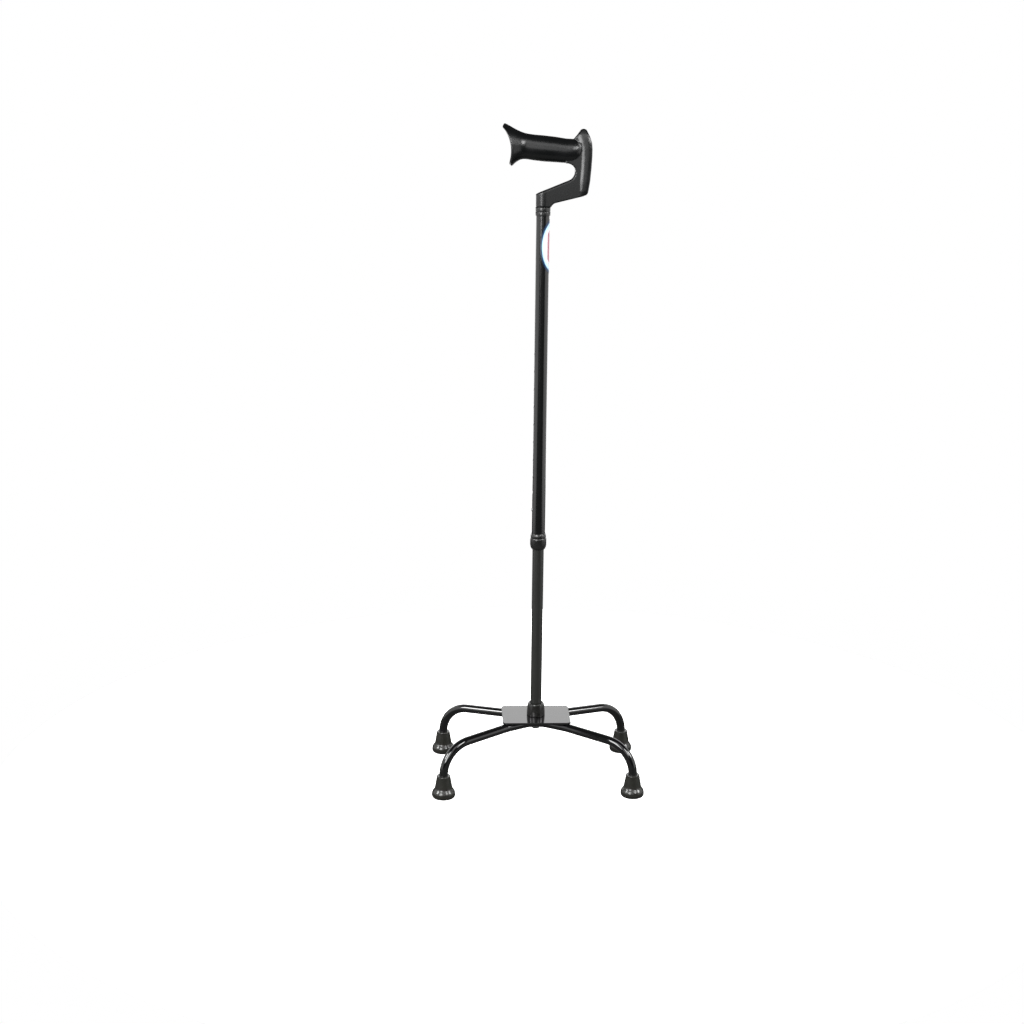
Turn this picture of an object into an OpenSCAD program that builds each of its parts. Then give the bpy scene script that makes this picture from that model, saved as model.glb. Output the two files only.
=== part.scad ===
// Quad walking cane: an offset handle on a two-part height-adjustable shaft,
// which stands on a plate with four bent legs and rubber tips.
// Millimetres. Origin on the floor under the shaft, +Z up, +X towards the handle's front.

/* [Height setting] */
// Pin hole that the snap button stands in, counted from the handle
height_hole = 10; // [1:1:10]
// Height of the snap button above the floor
button_z = 407; // [405:0.5:410]

/* [Shaft] */
// Outside diameter of the upper tube
upper_od = 19.05; // [18.9:0.05:19.2]
// Wall of the upper tube
upper_wall = 1.1; // [1.1:0.01:1.15]
// Outside diameter of the lower tube
lower_od = 16.4; // [16.3:0.05:16.4]
// Wall of the lower tube
lower_wall = 1.2; // [1.1:0.05:1.3]
// From the handle ring's lower edge down to the first pin hole
first_hole_drop = 190.4; // [150:0.2:200]
// From the handle ring's lower edge down to the upper tube's open end
tube_drop = 466; // [460:1:470]

/* [Base] */
// Distance between the left and right foot centres
foot_span_x = 274; // [250:2:300]
// Distance between the front and rear foot centres
foot_span_y = 172; // [160:2:190]
// Width of the base plate
plate_w = 100; // [96:1:110]
// Depth of the base plate
plate_d = 72; // [68:1:80]
// Thickness of the base plate
plate_t = 3; // [2.5:0.5:4]
// Corner radius of the base plate
plate_corner = 6; // [4:0.5:10]
// Underside of the base plate above the floor
plate_z = 90; // [85:1:95]

/* [Legs] */
// Outside diameter of the leg tubes
leg_od = 12.7; // [12:0.1:12.7]
// Wall of the leg tubes
leg_wall = 1.5; // [1:0.1:2]
// Bend radius above each foot
leg_bend_r = 45; // [40:1:48]
// Fall of the legs outside the plate, in degrees
leg_fall = 5; // [3:0.5:6]
// Run of each leg from the middle to where it starts to fall
leg_flat = 50; // [48:1:55]

/* [Feet] */
// Height of a rubber tip
foot_h = 33; // [30:0.5:33]
// Largest diameter of a rubber tip
foot_d = 34; // [32:0.5:38]

/* [Handle] */
// Thickness of the handle's neck, front to back
neck_t = 20; // [18:0.5:20]
// Thickness of the grip, front to back
grip_t = 30; // [28:0.5:34]

/* [Hidden] */
$fn = 64;
hull_fn = 32;
pin_holes = 10;
hole_pitch = 25.4;

// Shaft
upper_id = upper_od - 2 * upper_wall;
lower_id = lower_od - 2 * lower_wall;
ring_z = button_z + first_hole_drop + (height_hole - 1) * hole_pitch;
tube_end_z = ring_z - tube_drop;
plate_top = plate_z + plate_t;
lower_top = button_z + 45;
pin_hole_d = 7;
button_d = 6.6;
button_hole_d = 6.8;
button_proud = 0.8;
leaf_x = 5.6;
leaf_t = 0.6;

// Handle, measured from the ring's lower edge
ring_h = 12;
ring_d = 21;
socket_d = 20.4;
socket_top = 33.2;
spigot_depth = 35;
screw_drop = 14;
screw_d = 3.5;
throat = [31.3, 59.2];
throat_r = 12.3;
neck_fillet = [19.2, 9.2];
neck_fillet_r = 9;
heel = [56.8, 31.9];
heel_r = 4;
neck_under_slope = 13.9;
neck_over_slope = 21.6;
neck_front_lean = 6.6;

// Screw lock, measured from the upper tube's open end
lock_flange_d = 22.2;
lock_thread_d = 20.8;
lock_nut_d = 23.4;
lock_fit = 0.1;
sleeve_bore = lower_od + 2 * lock_fit;
nut_low = -11.6;
nut_high = 5.5;
sleeve_low = -9;
sleeve_step = -3;
flange_low = 6.6;
flange_high = 12.2;

// Legs: the two straight arms of a tube would meet at leg_apex without the middle bend
leg_apex = 4.3;
leg_middle_r = 35;
leg_knee_r = 60;
leg_z = plate_z - leg_od / 2;
leg_reach = norm([foot_span_x / 2, foot_span_y / 2 - leg_apex]);
leg_angle = atan2(foot_span_y / 2 - leg_apex, foot_span_x / 2);
knee_run = leg_knee_r * tan(leg_fall / 2);
fall_end = leg_reach - leg_bend_r * (1 - sin(leg_fall));
tube_sides = 24;
bend_steps = 12;
middle_steps = 8;
bend_end_z = leg_z - (fall_end - leg_flat) * tan(leg_fall) - leg_bend_r * cos(leg_fall);
foot_floor = 6;
foot_washer_t = 1.5;
leg_end_z = foot_floor + foot_washer_t;

// Base fastening
bolt_d = 6;
bolt_head_d = 14;
bolt_head_h = 4;
clamp_washer_d = 20;
clamp_washer_t = 1.5;
clamp_z = leg_z - leg_od / 2 - clamp_washer_t;
insert_h = 25;
rivet_d = 3;
rivet_z = plate_top + 12;
collar_h = 19;
collar_base_d = 27;
collar_top_d = 24;
weld_leg = 4.8;
weld_start = 24;
weld_end = 47;

// Points of an arc from one angle to another
function arc(centre, r, from, to, steps = 12) = [
    for (i = [0:steps])
        let (a = from + (to - from) * i / steps)
        [centre[0] + r * cos(a), centre[1] + r * sin(a)]
];

// Flat ring, the section of every tube
module tube_section(od, id) {
    difference() {
        circle(d = od);
        circle(d = id);
    }
}

// Turned ring between two heights
module sleeve(od, id, low, high) {
    translate([0, 0, low])
        linear_extrude(high - low)
            tube_section(od, id);
}

// Disc standing across X, used between the stations of the grip
module grip_station(x, z, height, width, tilt = 0) {
    translate([x, 0, z])
        rotate([0, tilt, 0])
            rotate([0, 90, 0])
                linear_extrude(0.5)
                    scale([height / 100, width / 100])
                        circle(d = 100, $fn = hull_fn);
}

// Side outline of the handle below the grip, X to the right and Z up
module neck_outline() {
    polygon(concat(
        [[0, ring_h], [10.6, ring_h]],
        arc(neck_fillet, neck_fillet_r, 162, 90 + neck_under_slope),
        arc(heel, heel_r, neck_under_slope - 90, -neck_front_lean),
        [[64.5, 63.4], [65.6, 80], [65.6, 92], [64.8, 99.7], [61.9, 107.7], [57.8, 115.7],
         [56.2, 117.2], [54.2, 117.6], [50.5, 115.5], [45.1, 108.3], [41, 104], [36, 101]],
        arc(throat, throat_r, 100, neck_over_slope - 90),
        [[0, socket_top]]
    ));
}

module handle() {
    color("#17191b")
        translate([0, 0, ring_z])
            difference() {
                union() {
                    translate([0, 0, -spigot_depth])
                        cylinder(d = upper_id, h = spigot_depth + ring_h);
                    difference() {
                        translate([0, 0, ring_h])
                            cylinder(d = socket_d, h = 30);
                        translate([0, -socket_d, socket_top])
                            rotate([0, -neck_over_slope, 0])
                                translate([-2 * socket_d, 0, 0])
                                    cube([4 * socket_d, 2 * socket_d, 2 * socket_d]);
                    }
                    translate([0, neck_t / 2, 0])
                        rotate([90, 0, 0])
                            linear_extrude(neck_t)
                                neck_outline();
                    hull() {
                        grip_station(-34, 94.3, 33, grip_t - 2);
                        grip_station(0, 90.8, 35.4, grip_t);
                        grip_station(30, 88.1, 33, grip_t - 1);
                        grip_station(49, 88.5, 27, neck_t - 3);
                    }
                    hull() {
                        grip_station(-22, 93.4, 29, grip_t - 6);
                        grip_station(-48.6, 95.4, 55.5, grip_t + 15, -9.5);
                        grip_station(-51.6, 96.2, 54.5, grip_t + 14, -9.5);
                    }
                }
                translate([-101.2, 0, 86])
                    rotate([90, 0, 0])
                        cylinder(r = 57, h = 3 * grip_t, center = true);
                translate([0, 0, -screw_drop])
                    rotate([-90, 0, 0])
                        cylinder(d = screw_d, h = upper_od);
            }
}

module handle_ring() {
    color("#2b2d2e")
        translate([0, 0, ring_z])
            rotate_extrude()
                polygon([
                    [upper_od / 2, 0], [ring_d / 2 - 0.5, 0], [ring_d / 2, 0.6],
                    [ring_d / 2, 5], [ring_d / 2 - 0.5, 5.6], [ring_d / 2, 6.2],
                    [ring_d / 2, ring_h - 0.6], [ring_d / 2 - 0.5, ring_h], [upper_od / 2, ring_h]
                ]);
}

module handle_screw() {
    color("#8b8d8f")
        translate([0, 0, ring_z - screw_drop])
            rotate([-90, 0, 0]) {
                translate([0, 0, 2])
                    cylinder(d = screw_d, h = upper_od / 2 - 2);
                translate([0, 0, upper_od / 2])
                    difference() {
                        cylinder(d1 = 7, d2 = 4.5, h = 1.8);
                        translate([0, 0, 0.9])
                            cylinder(d = 2.6, h = 1, $fn = 6);
                    }
            }
}

module upper_tube() {
    color("#232526")
        difference() {
            sleeve(upper_od, upper_id, tube_end_z, ring_z + ring_h);
            for (i = [0 : pin_holes - 1])
                translate([0, 0, ring_z - first_hole_drop - i * hole_pitch])
                    rotate([0, -90, 0])
                        cylinder(d = pin_hole_d, h = upper_od);
            translate([0, 0, ring_z - screw_drop])
                rotate([-90, 0, 0])
                    cylinder(d = screw_d + 0.1, h = upper_od);
        }
}

// Oval sticker that wraps the side of the upper tube
module size_label() {
    label_t = 0.2;
    label_h = 76;
    label_drop = 42;
    color("#dfe8f2")
        translate([0, 0, ring_z - label_drop])
            intersection() {
                sleeve(upper_od + 2 * label_t, upper_od, -label_h / 2, label_h / 2);
                rotate([0, 0, -1])
                    rotate([90, 0, 90])
                        linear_extrude(upper_od)
                            polygon([
                                for (a = [0 : 10 : 350])
                                    [0.98 * upper_od / 2 * cos(a), label_h / 2 * sin(a)]
                            ]);
            }
}

// Split threaded sleeve on the upper tube's end; its fingers grip the lower tube
module lock_sleeve() {
    color("#3a3b3b")
        translate([0, 0, tube_end_z])
            difference() {
                rotate_extrude()
                    polygon([
                        [sleeve_bore / 2, sleeve_low], [9.2, sleeve_low],
                        [lock_thread_d / 2, -4], [lock_thread_d / 2, flange_low],
                        [lock_flange_d / 2, flange_low], [lock_flange_d / 2, flange_low + 2.2],
                        [upper_od / 2 + 0.7, flange_high], [upper_od / 2, flange_high],
                        [upper_od / 2, 0], [sleeve_bore / 2, 0]
                    ]);
                for (a = [45, 135])
                    rotate([0, 0, a])
                        translate([-15, -0.6, sleeve_low - 1])
                            cube([30, 1.2, sleeve_step - sleeve_low + 1]);
            }
}

module lock_nut() {
    bevel = 1.8;
    color("#303232")
        translate([0, 0, tube_end_z])
            rotate_extrude()
                polygon([
                    [lower_od / 2 + 0.25, nut_low], [lock_nut_d / 2 - 2.6, nut_low],
                    [lock_nut_d / 2 - 0.4, nut_low + 4], [lock_nut_d / 2, nut_low + 6],
                    [lock_nut_d / 2, nut_high - bevel], [lock_nut_d / 2 - bevel / 2, nut_high],
                    [lock_thread_d / 2 + lock_fit, nut_high], [lock_thread_d / 2 + lock_fit, -4.1],
                    [9.6, sleeve_low - 0.4], [lower_od / 2 + 0.25, sleeve_low - 0.4]
                ]);
}

module lower_tube() {
    color("#353735")
        difference() {
            sleeve(lower_od, lower_id, plate_top, lower_top);
            translate([0, 0, button_z])
                rotate([0, -90, 0])
                    cylinder(d = button_hole_d, h = lower_od);
            translate([0, 0, rivet_z])
                rotate([90, 0, 0])
                    cylinder(d = rivet_d, h = 2 * lower_od, center = true);
        }
}

// Nylon plug that centres the lower tube in the upper one
module glide_bush() {
    glide_fit = 0.08;
    color("#d8d6cf")
        translate([0, 0, lower_top]) {
            translate([0, 0, -12])
                cylinder(d = lower_id, h = 12);
            cylinder(d = upper_id - 2 * glide_fit, h = 4);
            translate([0, 0, 4])
                cylinder(d1 = upper_id - 2 * glide_fit, d2 = upper_id - 3, h = 2);
        }
}

module snap_button() {
    tip_x = upper_od / 2 + button_proud;
    dome = 1.2;
    color("#a9abad")
        translate([-leaf_x, 0, button_z])
            rotate([0, -90, 0]) {
                cylinder(d = button_d, h = tip_x - leaf_x - dome);
                translate([0, 0, tip_x - leaf_x - dome])
                    cylinder(d1 = button_d, d2 = button_d - 2.4, h = dome);
            }
}

// Spring strip bent into a U inside the lower tube
module button_spring() {
    leaf_w = 8;
    bend_z = button_z - 28;
    arm_top = button_z + 5;
    color("#9a9c9e") {
        for (side = [-1, 1])
            translate([side * (leaf_x - leaf_t / 2), 0, (bend_z + arm_top) / 2])
                cube([leaf_t, leaf_w, arm_top - bend_z], center = true);
        translate([0, leaf_w / 2, bend_z])
            rotate([90, 0, 0])
                linear_extrude(leaf_w)
                    difference() {
                        tube_section(2 * leaf_x, 2 * (leaf_x - leaf_t));
                        translate([-2 * leaf_x, 0])
                            square([4 * leaf_x, 2 * leaf_x]);
                    }
    }
}

// Tapped steel plug in the foot of the lower tube
module tube_insert() {
    color("#8e9092")
        translate([0, 0, plate_top])
            difference() {
                cylinder(d = lower_id, h = insert_h);
                cylinder(d = bolt_d, h = insert_h);
                translate([0, 0, rivet_z - plate_top])
                    rotate([90, 0, 0])
                        cylinder(d = rivet_d, h = 2 * lower_od, center = true);
            }
}

// Two half rivets, one in each side of the tube, clear of the bolt
module insert_rivet() {
    color("#b5b5b3")
        for (side = [-1, 1])
            translate([0, side * (lower_od / 2 - 0.2), rivet_z])
                rotate([90 * side, 0, 0])
                    cylinder(d = rivet_d, h = 4.4);
}

module base_collar() {
    rim_z = collar_h - 2;
    barrel_sag = (collar_base_d - collar_top_d) / 2;
    color("#3f403c")
        translate([0, 0, plate_top])
            rotate_extrude()
                polygon(concat(
                    [[lower_od / 2, 0], [collar_base_d / 2 - 0.4, 0]],
                    [for (i = [0:8])
                        let (t = i / 8)
                        [collar_base_d / 2 - barrel_sag * t * t, 0.6 + (rim_z - 0.6) * t]],
                    [[collar_top_d / 2 - 1, collar_h], [lower_od / 2 + 1.2, collar_h],
                     [lower_od / 2, collar_h - 1.2]]
                ));
}

module base_plate() {
    color("#1c1d1e")
        translate([0, 0, plate_z])
            linear_extrude(plate_t)
                difference() {
                    union() {
                        square([plate_w, plate_d - 2 * plate_corner], center = true);
                        square([plate_w - 2 * plate_corner, plate_d], center = true);
                        for (x = [-1, 1], y = [-1, 1])
                            translate([x * (plate_w / 2 - plate_corner), y * (plate_d / 2 - plate_corner)])
                                circle(r = plate_corner);
                    }
                    circle(d = bolt_d + 0.2);
                }
}

// Dome-headed bolt from below, up between the leg tubes into the tube insert
module base_bolt() {
    color("#4a4b4c")
        translate([0, 0, clamp_z]) {
            cylinder(d = bolt_d, h = plate_top + insert_h - 2 - clamp_z);
            translate([0, 0, -bolt_head_h])
                difference() {
                    rotate_extrude()
                        polygon(concat(
                            [[0, 0], [3, 0]],
                            [for (i = [1:6])
                                let (a = 90 * i / 6)
                                [3 + (bolt_head_d / 2 - 3) * sin(a), bolt_head_h * 0.8 * (1 - cos(a))]],
                            [[bolt_head_d / 2, bolt_head_h], [0, bolt_head_h]]
                        ));
                    cylinder(d = 4.6, h = 2.4, $fn = 6);
                }
        }
}

module clamp_washer() {
    color("#6f7173")
        translate([0, 0, clamp_z])
            difference() {
                cylinder(d = clamp_washer_d, h = clamp_washer_t);
                cylinder(d = bolt_d + 0.4, h = clamp_washer_t);
            }
}

// Stations down one arm of a leg tube: run from the middle, height, and dive angle
function arm_stations() = concat(
    [for (a = [0 : leg_fall / 2 : leg_fall])
        [leg_flat - knee_run + leg_knee_r * sin(a), -leg_knee_r * (1 - cos(a)), a]],
    [for (i = [0 : bend_steps])
        let (a = leg_fall + (90 - leg_fall) * i / bend_steps)
        [leg_reach - leg_bend_r * (1 - sin(a)), bend_end_z - leg_z + leg_bend_r * cos(a), a]],
    [[leg_reach, leg_end_z - leg_z, 90]]
);

// A station of the whole tube: its centre, its heading in plan and its dive angle
function outward(s) = [
    [s[0] * cos(leg_angle), leg_apex + s[0] * sin(leg_angle), leg_z + s[1]], leg_angle, s[2]
];
function inward(s) = [
    [-s[0] * cos(leg_angle), leg_apex + s[0] * sin(leg_angle), leg_z + s[1]], -leg_angle, -s[2]
];
function middle_station(turn) = [
    [leg_middle_r * sin(turn), leg_apex + leg_middle_r * (1 / cos(leg_angle) - cos(turn)), leg_z],
    turn, 0
];
function leg_stations() = let (arm = arm_stations(), last = len(arm) - 1) concat(
    [for (i = [0 : last]) inward(arm[last - i])],
    [for (i = [0 : middle_steps]) middle_station(leg_angle * (2 * i / middle_steps - 1))],
    [for (s = arm) outward(s)]
);

// Ring of points about a station, square to the tube
function ring(s, r) = [
    for (k = [0 : tube_sides - 1])
        let (
            a = 360 * k / tube_sides,
            side = [-sin(s[1]), cos(s[1]), 0],
            lift = [cos(s[1]) * sin(s[2]), sin(s[1]) * sin(s[2]), cos(s[2])]
        )
        s[0] + r * (cos(a) * side + sin(a) * lift)
];

// Walls between rings of a sweep, four points at a time; flip turns them inside out
function walls(first, rings, flip) = [
    for (i = [0 : rings - 2], k = [0 : tube_sides - 1])
        let (
            a = first + i * tube_sides + k,
            b = first + i * tube_sides + (k + 1) % tube_sides,
            quad = [a, b, b + tube_sides, a + tube_sides]
        )
        flip ? [quad[3], quad[2], quad[1], quad[0]] : quad
];

// Flat annulus that closes one end of the tube
function annulus(outer, inner, flip) = [
    for (k = [0 : tube_sides - 1])
        let (n = (k + 1) % tube_sides, quad = [outer + k, inner + k, inner + n, outer + n])
        flip ? [quad[3], quad[2], quad[1], quad[0]] : quad
];

// A whole leg tube: a middle bend in plan and an arm to either side, opening towards +Y
module leg_tube() {
    stations = leg_stations();
    rings = len(stations);
    bore = rings * tube_sides;
    last = bore - tube_sides;
    polyhedron(
        points = concat(
            [for (s = stations) each ring(s, leg_od / 2)],
            [for (s = stations) each ring(s, leg_od / 2 - leg_wall)]
        ),
        faces = concat(
            walls(0, rings, false), walls(bore, rings, true),
            annulus(0, bore, false), annulus(last, bore + last, true)
        )
    );
}

module front_leg_tube() {
    color("#202122")
        mirror([0, 1, 0])
            leg_tube();
}

module rear_leg_tube() {
    color("#202122")
        leg_tube();
}

// Weld beads that fill the corners between the leg tubes and the plate's underside
module leg_welds() {
    crown_gap = 2;
    color("#2a2b2c")
        for (side = [0, 1], turn = [leg_angle, 180 - leg_angle])
            mirror([0, side, 0])
                translate([0, leg_apex, leg_z])
                    rotate([0, 0, turn])
                        difference() {
                            for (y = [crown_gap, -crown_gap - 3])
                                translate([weld_start, y, leg_od / 2 - weld_leg / 2])
                                    cube([weld_end - weld_start, 3, weld_leg / 2]);
                            rotate([0, 90, 0])
                                cylinder(d = leg_od, h = leg_reach);
                        }
}

module foot_tip(x, y) {
    neck_top_d = 19.5;
    neck_low_d = 25.5;
    color("#45453f")
        translate([x * foot_span_x / 2, y * foot_span_y / 2, 0])
            rotate_extrude()
                polygon([
                    [0, 0], [5, 0], [5, 1.2], [6.5, 1.2], [6.5, 0], [9.5, 0], [9.5, 1.2],
                    [11, 1.2], [11, 0], [foot_d / 2 - 2.2, 0], [foot_d / 2 - 0.8, 0.8],
                    [foot_d / 2, 2.6], [foot_d / 2 - 0.3, 9], [foot_d / 2 - 1.4, 10.6],
                    [neck_low_d / 2 + 0.6, 12.6], [neck_low_d / 2, 14.5],
                    [neck_top_d / 2, foot_h - 1], [neck_top_d / 2 - 0.8, foot_h],
                    [leg_od / 2, foot_h], [leg_od / 2, foot_floor], [0, foot_floor]
                ]);
}

// Steel disc in the tip's bore, which keeps the leg's end from cutting through
module foot_washer(x, y) {
    color("#9c9ea0")
        translate([x * foot_span_x / 2, y * foot_span_y / 2, foot_floor])
            cylinder(d = leg_od, h = foot_washer_t);
}

handle();
handle_ring();
handle_screw();
upper_tube();
size_label();
lock_sleeve();
lock_nut();
lower_tube();
glide_bush();
snap_button();
button_spring();
tube_insert();
insert_rivet();
base_collar();
base_plate();
base_bolt();
clamp_washer();
front_leg_tube();
rear_leg_tube();
leg_welds();
foot_tip(-1, -1);  // foot_front_left
foot_tip(1, -1);  // foot_front_right
foot_tip(-1, 1);  // foot_rear_left
foot_tip(1, 1);  // foot_rear_right
foot_washer(-1, -1);  // foot_washer_front_left
foot_washer(1, -1);  // foot_washer_front_right
foot_washer(-1, 1);  // foot_washer_rear_left
foot_washer(1, 1);  // foot_washer_rear_right
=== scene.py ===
# The looks of a quad walking cane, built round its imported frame.
# Handle, tubes, screw lock, collar, plate, legs, tips and sticker are modelled here at full detail
# in the places that the frame gives; the small fasteners keep their CAD shape and get a finish.
import math

import bpy
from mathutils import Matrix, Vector


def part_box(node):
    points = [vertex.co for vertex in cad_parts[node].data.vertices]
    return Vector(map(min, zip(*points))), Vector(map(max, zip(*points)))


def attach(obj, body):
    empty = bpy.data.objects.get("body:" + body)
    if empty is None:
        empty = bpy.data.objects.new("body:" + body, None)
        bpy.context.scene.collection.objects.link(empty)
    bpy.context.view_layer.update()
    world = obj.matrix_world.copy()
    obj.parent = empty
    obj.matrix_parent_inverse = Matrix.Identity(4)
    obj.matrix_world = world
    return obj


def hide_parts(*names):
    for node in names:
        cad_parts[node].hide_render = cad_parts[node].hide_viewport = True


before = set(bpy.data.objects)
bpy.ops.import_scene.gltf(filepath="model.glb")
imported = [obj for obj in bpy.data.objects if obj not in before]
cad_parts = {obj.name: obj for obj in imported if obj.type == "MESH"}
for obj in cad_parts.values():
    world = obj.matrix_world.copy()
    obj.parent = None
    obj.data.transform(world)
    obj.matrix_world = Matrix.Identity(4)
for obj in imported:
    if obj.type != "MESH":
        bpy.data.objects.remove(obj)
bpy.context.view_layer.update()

MM = 0.001
QUARTER = math.radians(90)
SIDES = 96  # round parts are turned with this many sides

# ---------------------------------------------------------------- sizes taken from the frame


def middle(node):
    """The middle of a CAD node's box."""
    low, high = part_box(node)
    return (low + high) / 2


RING_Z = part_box("handle_ring")[0].z
TUBE_LOW, TUBE_HIGH = (corner.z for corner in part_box("upper_tube"))
UPPER_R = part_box("upper_tube")[1].x
LOWER_LOW, LOWER_HIGH = (corner.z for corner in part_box("lower_tube"))
LOWER_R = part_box("lower_tube")[1].x
PLATE_LOW, PLATE_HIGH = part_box("base_plate")
LEG_R = 6.35 * MM
FOOT_NODES = ("foot_front_left", "foot_front_right", "foot_rear_left", "foot_rear_right")

# ---------------------------------------------------------------- mesh tools


def deselect():
    bpy.ops.object.select_all(action="DESELECT")


def edit():
    bpy.ops.object.mode_set(mode="EDIT")


def object_mode():
    bpy.ops.object.mode_set(mode="OBJECT")


def pick_by(kind):
    """Deselects the active mesh and sets whether vertices, edges or faces are picked."""
    edit()
    bpy.ops.mesh.select_all(action="DESELECT")
    bpy.ops.mesh.select_mode(type=kind)
    object_mode()


def only(piece):
    """Makes piece the active object and the only selected one."""
    deselect()
    piece.select_set(True)
    bpy.context.view_layer.objects.active = piece


def settle(piece):
    """Puts the piece's place, turn and scale into its mesh, so that its object sits at the origin."""
    only(piece)
    bpy.ops.object.transform_apply(location=True, rotation=True, scale=True)


def apply_modifier(piece, kind, **settings):
    """Adds a modifier with its settings and applies it at once."""
    only(piece)
    modifier = piece.modifiers.new(kind.lower(), kind)
    for key, value in settings.items():
        setattr(modifier, key, value)
    bpy.ops.object.modifier_apply(modifier=modifier.name)


def cut(piece, cutter):
    """Takes the cutter's shape out of the piece and deletes the cutter."""
    settle(cutter)
    apply_modifier(piece, "BOOLEAN", operation="DIFFERENCE", solver="EXACT", object=cutter)
    bpy.data.objects.remove(cutter)


def join_solid(piece, other):
    """Welds another closed shape onto the piece and deletes the other."""
    settle(other)
    apply_modifier(piece, "BOOLEAN", operation="UNION", solver="EXACT", object=other)
    bpy.data.objects.remove(other)


def tidy_shell(piece):
    """Merges doubles and points every face outwards."""
    only(piece)
    edit()
    bpy.ops.mesh.select_all(action="SELECT")
    bpy.ops.mesh.remove_doubles(threshold=1e-6)
    bpy.ops.mesh.normals_make_consistent(inside=False)
    object_mode()


def grow_ring(step, scale, about):
    """Extrudes the selected ring by step and scales the new ring about a point."""
    bpy.ops.mesh.extrude_region_move(TRANSFORM_OT_translate={"value": step})
    bpy.ops.transform.resize(value=scale, center_override=about)


def turned(name, profile, at=(0, 0), sides=SIDES, hollow=True):
    """Turns a profile of (radius, height) points, in millimetres, round a vertical axis.

    A hollow profile runs round its section and closes on its first point;
    a solid one is capped at its first and last points.
    """
    deselect()
    radius, height = profile[0]
    bpy.ops.mesh.primitive_circle_add(
        vertices=sides, radius=radius * MM, location=(at[0], at[1], height * MM)
    )
    piece = bpy.context.object
    piece.name = name
    settle(piece)
    edit()
    bpy.ops.mesh.select_all(action="SELECT")
    if not hollow:
        bpy.ops.mesh.edge_face_add()
    for next_radius, next_height in profile[1:] + (profile[:1] if hollow else []):
        k = next_radius / radius
        grow_ring(
            (0, 0, (next_height - height) * MM), (k, k, 1), (at[0], at[1], next_height * MM)
        )
        radius, height = next_radius, next_height
    object_mode()
    tidy_shell(piece)
    return piece


def arc(centre, radius, start, end, steps):
    """Points of an arc between two angles in degrees."""
    return [
        (
            centre[0] + radius * math.cos(math.radians(start + (end - start) * i / steps)),
            centre[1] + radius * math.sin(math.radians(start + (end - start) * i / steps)),
        )
        for i in range(steps + 1)
    ]


def smooth(piece, angle=35):
    only(piece)
    bpy.ops.object.shade_smooth_by_angle(angle=math.radians(angle))


def soften_edges(piece, width, segments=3, angle=35):
    """Rounds every edge sharper than angle, width in millimetres."""
    apply_modifier(
        piece,
        "BEVEL",
        width=width * MM,
        segments=segments,
        limit_method="ANGLE",
        angle_limit=math.radians(angle),
    )
    smooth(piece, angle)


# ---------------------------------------------------------------- material tools


def linear(code):
    """An sRGB hex colour as linear RGBA."""
    parts = [int(code[i : i + 2], 16) / 255 for i in (1, 3, 5)]
    return [c / 12.92 if c <= 0.04045 else ((c + 0.055) / 1.055) ** 2.4 for c in parts] + [1.0]


def add(tree, kind, values=None, links=None, **settings):
    """Adds a node: settings are its own, values fill its sockets and links feed them."""
    made = tree.nodes.new(kind)
    for key, value in settings.items():
        setattr(made, key, value)
    for socket, value in (values or {}).items():
        made.inputs[socket].default_value = value
    for socket, source in (links or {}).items():
        tree.links.new(source, made.inputs[socket])
    return made


def new_material(name):
    material = bpy.data.materials.new(name)
    material.use_nodes = True
    material.node_tree.nodes.clear()
    return material, material.node_tree


def per_mm(size):
    """Noise scale whose features are about size millimetres across."""
    return 1 / (size * MM)


def finish_material(tree, surface):
    add(tree, "ShaderNodeOutputMaterial", links={"Surface": surface.outputs["BSDF"]})


def finish_skin(
    tree, colours, patches, roughness, gloss, relief, strength, depth, ior, span=(0.3, 0.7)
):
    """Ends a non-metal material: patches mix its two colours, gloss moves its roughness within
    a range as it runs over span, and relief makes its bumps, depth millimetres high."""
    colour = add(tree, "ShaderNodeMix", links={"Factor": patches}, data_type="RGBA")
    colour.inputs["A"].default_value = linear(colours[0])
    colour.inputs["B"].default_value = linear(colours[1])
    rough = add(
        tree,
        "ShaderNodeMapRange",
        {"From Min": span[0], "From Max": span[1], "To Min": roughness[0], "To Max": roughness[1]},
        {"Value": gloss},
    )
    bump = add(
        tree, "ShaderNodeBump", {"Strength": strength, "Distance": depth * MM}, {"Height": relief}
    )
    surface = add(
        tree,
        "ShaderNodeBsdfPrincipled",
        {"IOR": ior},
        {
            "Base Color": colour.outputs["Result"],
            "Roughness": rough.outputs["Result"],
            "Normal": bump.outputs["Normal"],
        },
    )
    finish_material(tree, surface)


def moulded_gloss_plastic():
    """Injection-moulded polypropylene, black and glossy: the mould's polish gives soft broad
    highlights, broken by a faint orange peel and by dulling where hands rub."""
    material, tree = new_material("moulded_gloss_plastic")
    place = add(tree, "ShaderNodeTexCoord").outputs["Object"]
    wear = add(tree, "ShaderNodeTexNoise", {"Scale": per_mm(22), "Detail": 3}, {"Vector": place})
    peel = add(tree, "ShaderNodeTexNoise", {"Scale": per_mm(1.3), "Detail": 2}, {"Vector": place})
    finish_skin(
        tree,
        colours=("#050606", "#0a0b0c"),
        patches=wear.outputs["Fac"],
        roughness=(0.24, 0.3),
        gloss=wear.outputs["Fac"],
        relief=peel.outputs["Fac"],
        strength=0.06,
        depth=0.05,
        ior=1.5,
    )
    return material


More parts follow.
